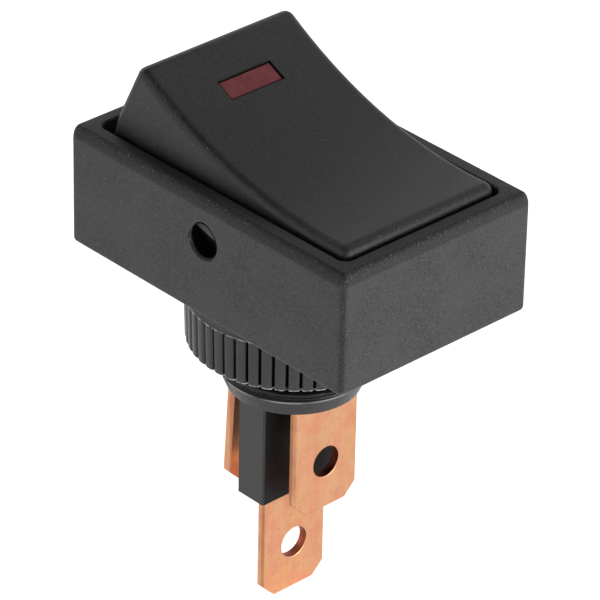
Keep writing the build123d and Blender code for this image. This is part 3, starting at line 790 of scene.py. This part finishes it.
def rib_drop(turn):
    """How far the ribs' outline lies inside the nut's radius at an angle: a shallow
    crown that grows with s squared, and a groove with s to a high power, where s runs
    from 0 at the middle of a rib to 1 in the groove."""
    pitch = 2 * pi / NUT_RIBS
    offset = np.abs((turn + pitch / 2) % pitch - pitch / 2) / (pitch / 2)
    return RIB_CROWN * offset ** 2 + GROOVE_DEPTH * offset ** GROOVE_SHARPNESS


def ribbed_radius(rows, drop):
    """Radius at every angle and row: the section on the collar, the section less the
    ribs' drop on the foot's rounding, and elsewhere the smaller of section and ribs."""
    taper = NUT_RADIUS + (rows[:, 1] - NUT_TOP) * (NUT_RADIUS - NUT_FOOT_RADIUS) / NUT_HEIGHT
    outer = rows[:, 0] > OUTER_SIDE
    on_foot = outer & (rows[:, 1] < NUT_FOOT + NUT_FOOT_ROUND)
    on_collar = outer & (rows[:, 1] >= COLLAR_END)
    radius = np.minimum(rows[None, :, 0], taper[None, :] - drop)
    radius = np.where(on_foot[None, :], rows[None, :, 0] - drop, radius)
    return np.where(on_collar[None, :], np.minimum(rows[:, 0], taper)[None, :], radius)


def make_ring_nut():
    """Closed grid of the nut: its ribbed radius at every angle and row."""
    steps = NUT_RIBS * STEPS_PER_RIB
    turn = np.arange(steps)[:, None] * 2 * pi / steps
    rows = nut_profile()
    radius = ribbed_radius(rows, rib_drop(turn))
    tall = np.broadcast_to(rows[None, :, 1], radius.shape)
    points = np.stack([radius * np.cos(turn), radius * np.sin(turn), tall], axis=-1) * MM
    mesh = ring_grid("ribbed_ring_nut", points)
    smooth_by_angle(mesh, 38)
    # Painted shade in the grooves, and painted highlights on the ribs' ends and under the collar.
    mesh.materials.append(plastic("nut_plastic", 50, roughness=0.26, contrast=0.05, depth=0.004,
                                  specks=0.0, specular=0.5, painted_shade=nut_groove_shade, painted_highlight=rib_end_highlights))
    piece = add_piece("ribbed_ring_nut", mesh, "nut")
    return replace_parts(piece, "ring_nut")


print("nut faces:", len(make_ring_nut().data.polygons))

# %% [markdown]
# ## Rocker
#
# The rocker's solid already has the dish, the leaning end faces and the rounded edges,
# so a merged copy is nearly enough. Only the ends of its two pins are moved out, until
# they are almost flush with the bezel, as on the real one. A pin is cut off by a ramp,
# so its end face keeps only the part above the ramp's tip, and a painted shade makes
# the ramp below dark.

# %% Rocker
PIN_INSET = 0.55
PIN_INSET_SEEN = 0.1
PIN_RADIUS = 1.375
PIN_TIP_LEVEL = 0.85
RAMP_START = (8.0, 8.1)
RAMP_END = (-0.01, -0.05)


def pin_ramp_shade(finish):
    """1 on the ramps of the pins, between the rocker's side and the pin's end, for a painted shade."""
    pin_end = BEZEL_HALF[1] - PIN_INSET_SEEN
    out = finish.fade(off_middle(finish), *RAMP_START)
    return finish.times(out, finish.fade(off_middle(finish), *(pin_end + step for step in RAMP_END)))


def draw_out_pins(points):
    """The points with the pins' ends moved out to the bezel's sides. An end face keeps
    only what lies above the tip's level, and its corners stay on the pin's circle."""
    sine, cosine = sin(radians(REST_TILT)), cos(radians(REST_TILT))
    over = points / MM - np.array([0, 0, PIVOT_HEIGHT])
    on_end = np.abs(over[:, 1]) > BEZEL_HALF[1] - PIN_INSET - NEAR
    rise = over[:, 0] * sine + over[:, 2] * cosine
    along = over[:, 0] * cosine - over[:, 2] * sine
    half_chord = (PIN_RADIUS ** 2 - PIN_TIP_LEVEL ** 2) ** 0.5
    along = np.where(rise < PIN_TIP_LEVEL, np.sign(along) * half_chord, along)
    rise = np.maximum(rise, PIN_TIP_LEVEL)
    out = np.sign(over[:, 1]) * (BEZEL_HALF[1] - PIN_INSET_SEEN)
    moved = np.stack([
        along * cosine + rise * sine,
        out,
        rise * cosine - along * sine + PIVOT_HEIGHT,
    ], axis=1)
    return np.where(on_end[:, None], moved * MM, points)


def make_rocker():
    """Merged copy of the rocker with the ends of its pins almost flush with the bezel."""
    mesh = merged_copy("rocker", "dished_rocker")
    set_points(mesh, draw_out_pins(points_of(mesh)))
    rework(mesh, drop_empty_faces)
    # Painted shade on the pins' ramps and on the roundings that look up.
    mesh.materials.append(plastic("rocker_plastic", 46, roughness=0.44, contrast=0.18, specks=0.5,
                                  specular=0.38, edge=(0.82, 0.74), painted_shade=pin_ramp_shade,
                                  round_shade=0.4, round_top=(0.84, 0.76)))
    piece = add_piece("dished_rocker", mesh, "rocker")
    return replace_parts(piece, "rocker")


print("rocker faces:", len(make_rocker().data.polygons))

# %% [markdown]
# ## Lens
#
# The lens is a small window over the lamp, and the lamp is off. Unlit red plastic looks
# dark and slightly cloudy and is a little smoother than the rocker round it. Real
# transmission would only show the dark inside, so a dark red base colour is enough.

# %% Lens
LENS_DARK = (0.240, 0.058, 0.068)
LENS_LIGHT = (0.292, 0.078, 0.090)


def lens_finish():
    """Unlit red plastic with a faint cloud in its colour and a fine grain."""
    finish = Finish("lens_plastic", 0.35, specular=0.15)
    finish.colour(finish.blend(finish.spread(finish.noise(0.8, 3.0), *MIDDLE), LENS_DARK, LENS_LIGHT))
    finish.bump(finish.noise(0.15, 3.0), 0.004)
    return finish.material


def make_lens():
    """Merged copy of the lens."""
    mesh = merged_copy("lens", "red_lens", 40)
    mesh.materials.append(lens_finish())
    piece = add_piece("red_lens", mesh, "rocker")
    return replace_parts(piece, "lens")


print("lens faces:", len(make_lens().data.polygons))

# %% [markdown]
# ## Blade terminals and their base
#
# The blades are stamped strips, and the base is a plug in the stem's end with a block
# between the blades. Their solids have the right form but knife-sharp edges. New meshes
# would only repeat that form, so each is a merged copy with a narrow live bevel, which
# catches the light as the real edges do. A painted shade darkens the block's side towards
# the near blade, where that blade shades it.

# %% Terminals
BLADES = {
    "supply_terminal": ("supply_blade", 0.0, -24.45, 1.0),
    "load_terminal": ("load_blade", 3.45, -15.2, -1.0),
    "ground_terminal": ("ground_blade", -3.85, -15.54, 1.0),
}
BLADE_EDGE = 0.06
BLOCK_EDGE = 0.08
EDGE_SEGMENTS = 2
SHARP_ANGLE = 30
BLOCK_FACING = (0.6, 0.9)
BLOCK_SHADE = 0.95


def block_side_shade(finish):
    """Painted shade on the side of the block that faces the near blade, which shades it."""
    return finish.spread(finish.facing()["X"], *BLOCK_FACING, 0.0, BLOCK_SHADE)


def soften(piece, width):
    """Rounds the edges sharper than SHARP_ANGLE by width millimetres."""
    bevel = piece.modifiers.new("worn_edges", "BEVEL")
    bevel.width = width * MM
    bevel.segments = EDGE_SEGMENTS
    bevel.limit_method = "ANGLE"
    bevel.angle_limit = radians(SHARP_ANGLE)
    bevel.use_clamp_overlap = True


def make_blade(node):
    """Merged copy of a terminal with softened edges and its own copper."""
    name, middle, hole_level, side = BLADES[node]
    mesh = merged_copy(node, name)
    mesh.materials.append(copper(f"{name}_copper", middle, hole_level, side))
    piece = add_piece(name, mesh, "base")
    soften(piece, BLADE_EDGE)
    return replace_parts(piece, node)


def make_terminal_base():
    """Merged copy of the plug and block with slightly rounded edges."""
    mesh = merged_copy("terminal_base", "plug_and_block")
    # Painted shade on the block's side towards the near blade.
    mesh.materials.append(plastic("base_plastic", 70, roughness=0.42, contrast=0.05, specks=0.0,
                                  painted_shade=block_side_shade))
    piece = add_piece("plug_and_block", mesh, "base")
    soften(piece, BLOCK_EDGE)
    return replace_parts(piece, "terminal_base")


print("blades:", [make_blade(node).name for node in BLADES])
print("base:", make_terminal_base().name)

# %% [markdown]
# ## Pieces inside
#
# The pieces inside the housing show only when it is opened or cut away, so new meshes
# would be wasted on them. They keep their solids, and each gets a finish of its own:
# tinned wire, lacquer, resin, nylon, spring wire, strip and contact metal. Two short
# functions, one for metal and one for cast or dipped pieces, cover them all.

# %% Inner finishes
TIN = (0.62, 0.62, 0.60)
STEEL = (0.56, 0.57, 0.58)
SILVER = (0.86, 0.85, 0.82)
STRIP_COPPER = (0.85, 0.50, 0.30)
METAL_LINE_SIZE = 0.3
METAL_SHADE = 0.82
CLOUD_SIZE = 0.9
CLOUD_SHADE = 0.88


def shade(tone, share):
    """A colour with every part scaled."""
    return tuple(share * part for part in tone)


def metal(name, tone, roughness, streak=(1, 1, 1)):
    """Drawn or rolled metal with fine streaks along one direction."""
    finish = Finish(name, roughness, metallic=1.0)
    lines = finish.spread(finish.noise(METAL_LINE_SIZE, 4.0, stretch=streak), *WIDE_MIDDLE)
    finish.colour(finish.blend(lines, shade(tone, METAL_SHADE), tone))
    finish.link(finish.spread(lines, 0.0, 1.0, roughness + 0.08, roughness - 0.04),
                finish.shader.inputs["Roughness"])
    finish.bump(lines, 0.003)
    return finish.material


def cast(name, tone, roughness):
    """Moulded or dipped material with a soft cloud in its colour."""
    finish = Finish(name, roughness)
    lumps = finish.spread(finish.noise(CLOUD_SIZE, 3.0), *MIDDLE)
    finish.colour(finish.blend(lumps, shade(tone, CLOUD_SHADE), tone))
    finish.bump(finish.noise(0.2, 3.0), 0.004)
    return finish.material


INNER_FINISHES = {
    "lamp": cast("lamp_resin", (0.42, 0.03, 0.03), 0.15),
    "lamp_ground_lead": metal("ground_lead_tin", TIN, 0.3),
    "lamp_live_lead": metal("live_lead_tin", TIN, 0.3),
    "resistor": cast("resistor_lacquer", (0.52, 0.42, 0.27), 0.35),
    "resistor_lead": metal("resistor_lead_tin", TIN, 0.3),
    "plunger": cast("plunger_nylon", (0.75, 0.72, 0.64), 0.4),
    "load_lamp_spring": metal("load_spring_wire", STEEL, 0.28),
    "contact_arm": metal("arm_strip", STRIP_COPPER, 0.3, streak=(0.1, 1, 1)),
    "moving_contact": metal("moving_contact_silver", SILVER, 0.25),
    "fixed_contact": metal("fixed_contact_silver", SILVER, 0.25),
}


def dress_inner(node, material):
    """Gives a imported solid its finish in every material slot."""
    mesh = frame["nodes"][node].data
    for index in range(len(mesh.materials)):
        mesh.materials[index] = material
    if not mesh.materials:
        mesh.materials.append(material)


for node, material in INNER_FINISHES.items():
    dress_inner(node, material)
print("inner finishes:", len(INNER_FINISHES))

# %% [markdown]
# ## Springs that are pressed
#
# Two springs get shorter as the switch moves: the plunger's, when the plunger is pushed
# in, and the one under the lamp's ground lead, when that end of the rocker goes down.
# Each is a merged copy that rides on its body. How short each gets is worked out from the
# solids, by turning the lead's points about the pivot and measuring how far its foot
# comes down on the spring.

# %% Pressed springs
TUBE_AXIS = np.array([sin(radians(REST_TILT)), 0.0, cos(radians(REST_TILT))])
SPRING_CLEARANCE = 0.03


def make_spring(node, name, body):
    """Merged copy of a spring that rides on a body, with a mesh of its own."""
    mesh = merged_copy(node, name)
    mesh.materials.append(metal(f"{name}_wire", STEEL, 0.28))
    piece = add_piece(name, mesh, body)
    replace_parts(piece, node)
    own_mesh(piece)


def plunger_spring_share():
    """Top of the plunger's spring on the tube's axis, and the share left when pressed."""
    pivot = np.array([0, 0, PIVOT_HEIGHT]) * MM
    along = (points_of(frame["nodes"]["plunger_spring"].data) - pivot) @ TUBE_AXIS
    length = along.max() - along.min()
    return pivot + TUBE_AXIS * along.max(), 1 - (PLUNGER_TRAVEL + SPRING_CLEARANCE) * MM / length


def ground_spring_share():
    """Foot of the ground lead's spring, and the share left when the rocker is down: the
    lead's points turn about the pivot, z' = x sin t + z cos t, and its lowest point over
    the spring is the pressed spring's top."""
    low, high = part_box("ground_lamp_spring")
    points = points_of(frame["nodes"]["lamp_ground_lead"].data)
    tall = points[:, 2] - PIVOT_HEIGHT * MM
    turn = radians(FULL_TILT)
    across = points[:, 0] * cos(turn) - tall * sin(turn)
    height = points[:, 0] * sin(turn) + tall * cos(turn) + PIVOT_HEIGHT * MM
    over = (across > low[0]) & (across < high[0])
    pressed = height[over].min() - SPRING_CLEARANCE * MM
    foot = [(low[0] + high[0]) / 2, (low[1] + high[1]) / 2, low[2]]
    return foot, (pressed - low[2]) / (high[2] - low[2])


spring_top, plunger_share = plunger_spring_share()
spring_foot, ground_share = ground_spring_share()
make_spring("plunger_spring", "plunger_coil", "rocker")
make_spring("ground_lamp_spring", "ground_coil", "base")
print("springs keep:", round(plunger_share, 3), round(ground_share, 3))

# %% [markdown]
# ## Floor, light and background
#
# The switch stands over a plain white table that glows softly, as on a light table: it
# is the table and the low sides that light the black plastic, and the ceiling is dark,
# so faces that look up stay darker than the sides. Four soft lamps shape the form: a
# strong one at the right, weak ones at the left and above, and a low one behind. The
# table and the world show white to the camera without lighting the switch any more.

# %% Floor and light
FLOOR_HALF = 3.0
FLOOR_GAP = 0.2
FLOOR_COLOUR = (0.93, 0.93, 0.93)
TABLE_GLOW = {"Is Camera Ray": 0.95, "Is Glossy Ray": 0.56, "Is Diffuse Ray": 1.5}
LAMP_AIM = Vector((0, 0, -0.005))
LAMPS = [
    ("right_panel", (0.58, 0.16, 0.05), 0.40, 2.7),
    ("left_panel", (-0.34, -0.48, 0.05), 0.40, 0.2),
    ("top_panel", (0.05, 0.25, 0.60), 0.40, 0.4),
    ("far_panel", (-0.55, 0.10, 0.24), 0.30, 0.45),
]
WORLD_LIGHT = 0.15
CEILING_START = 0.5
CEILING_END = 0.8
CEILING_LIGHT = 0.0


def make_floor():
    """A wide pale plane under the lowest point of the switch."""
    low = solid_box[0][2] - FLOOR_GAP * MM
    signs = [(-1, -1), (1, -1), (1, 1), (-1, 1)]
    mesh = bpy.data.meshes.new("floor")
    mesh.from_pydata([(x * FLOOR_HALF, y * FLOOR_HALF, low) for x, y in signs], [], [(0, 1, 2, 3)])
    floor = bpy.data.objects.new("floor", mesh)
    bpy.context.scene.collection.objects.link(floor)
    finish = Finish("floor_paper", 0.9, specular=0.1)
    finish.colour(FLOOR_COLOUR)
    path = finish.node("ShaderNodeLightPath")
    glow = 0.0
    for ray, strength in TABLE_GLOW.items():
        glow = finish.math("ADD", finish.times(path.outputs[ray], strength), glow)
    finish.shader.inputs["Emission Color"].default_value = (1, 1, 1, 1)
    finish.link(glow, finish.shader.inputs["Emission Strength"])
    mesh.materials.append(finish.material)
    return floor


def make_lamp(name, place, size, power):
    """A square soft lamp that points at the middle of the switch."""
    data = bpy.data.lights.new(name, "AREA")
    data.size = size
    data.energy = power
    lamp = bpy.data.objects.new(name, data)
    turn = (LAMP_AIM - Vector(place)).to_track_quat("-Z", "Y").to_matrix().to_4x4()
    lamp.matrix_world = Matrix.Translation(Vector(place)) @ turn
    bpy.context.scene.collection.objects.link(lamp)
    return lamp


def map_range(tree, value, numbers):
    """Carries a value from the first two numbers to the last two and holds it inside."""
    step = tree.nodes.new("ShaderNodeMapRange")
    for key, number in zip(("From Min", "From Max", "To Min", "To Max"), numbers):
        step.inputs[key].default_value = number
    tree.links.new(value, step.inputs["Value"])
    return step.outputs[0]


def joined(tree, operation, first, second):
    """One arithmetic step on two outputs."""
    step = tree.nodes.new("ShaderNodeMath")
    step.operation = operation
    tree.links.new(first, step.inputs[0])
    tree.links.new(second, step.inputs[1])
    return step.outputs[0]


def make_world():
    """Even light that fades towards the ceiling, and plain white to the camera."""
    world = bpy.data.worlds.new("studio")
    bpy.context.scene.world = world
    world.use_nodes = True
    tree = world.node_tree
    background = tree.nodes["Background"]
    background.inputs["Color"].default_value = (1, 1, 1, 1)
    path = tree.nodes.new("ShaderNodeLightPath")
    seen = path.outputs["Is Camera Ray"]
    for name in ("Is Glossy Ray", "Is Transmission Ray"):
        seen = joined(tree, "MAXIMUM", seen, path.outputs[name])
    level = map_range(tree, seen, (0.0, 1.0, WORLD_LIGHT, 1.0))
    direction = tree.nodes.new("ShaderNodeSeparateXYZ")
    tree.links.new(tree.nodes.new("ShaderNodeTexCoord").outputs["Generated"], direction.inputs[0])
    ceiling = map_range(tree, direction.outputs["Z"], (CEILING_START, CEILING_END, 1.0, CEILING_LIGHT))
    held = joined(tree, "MAXIMUM", path.outputs["Is Camera Ray"], ceiling)
    tree.links.new(joined(tree, "MULTIPLY", level, held), background.inputs["Strength"])
    return world


print("floor:", make_floor().name)
print("lamps:", [make_lamp(*values).name for values in LAMPS])
print("world:", make_world().name)
bpy.context.scene.view_settings.view_transform = "Standard"
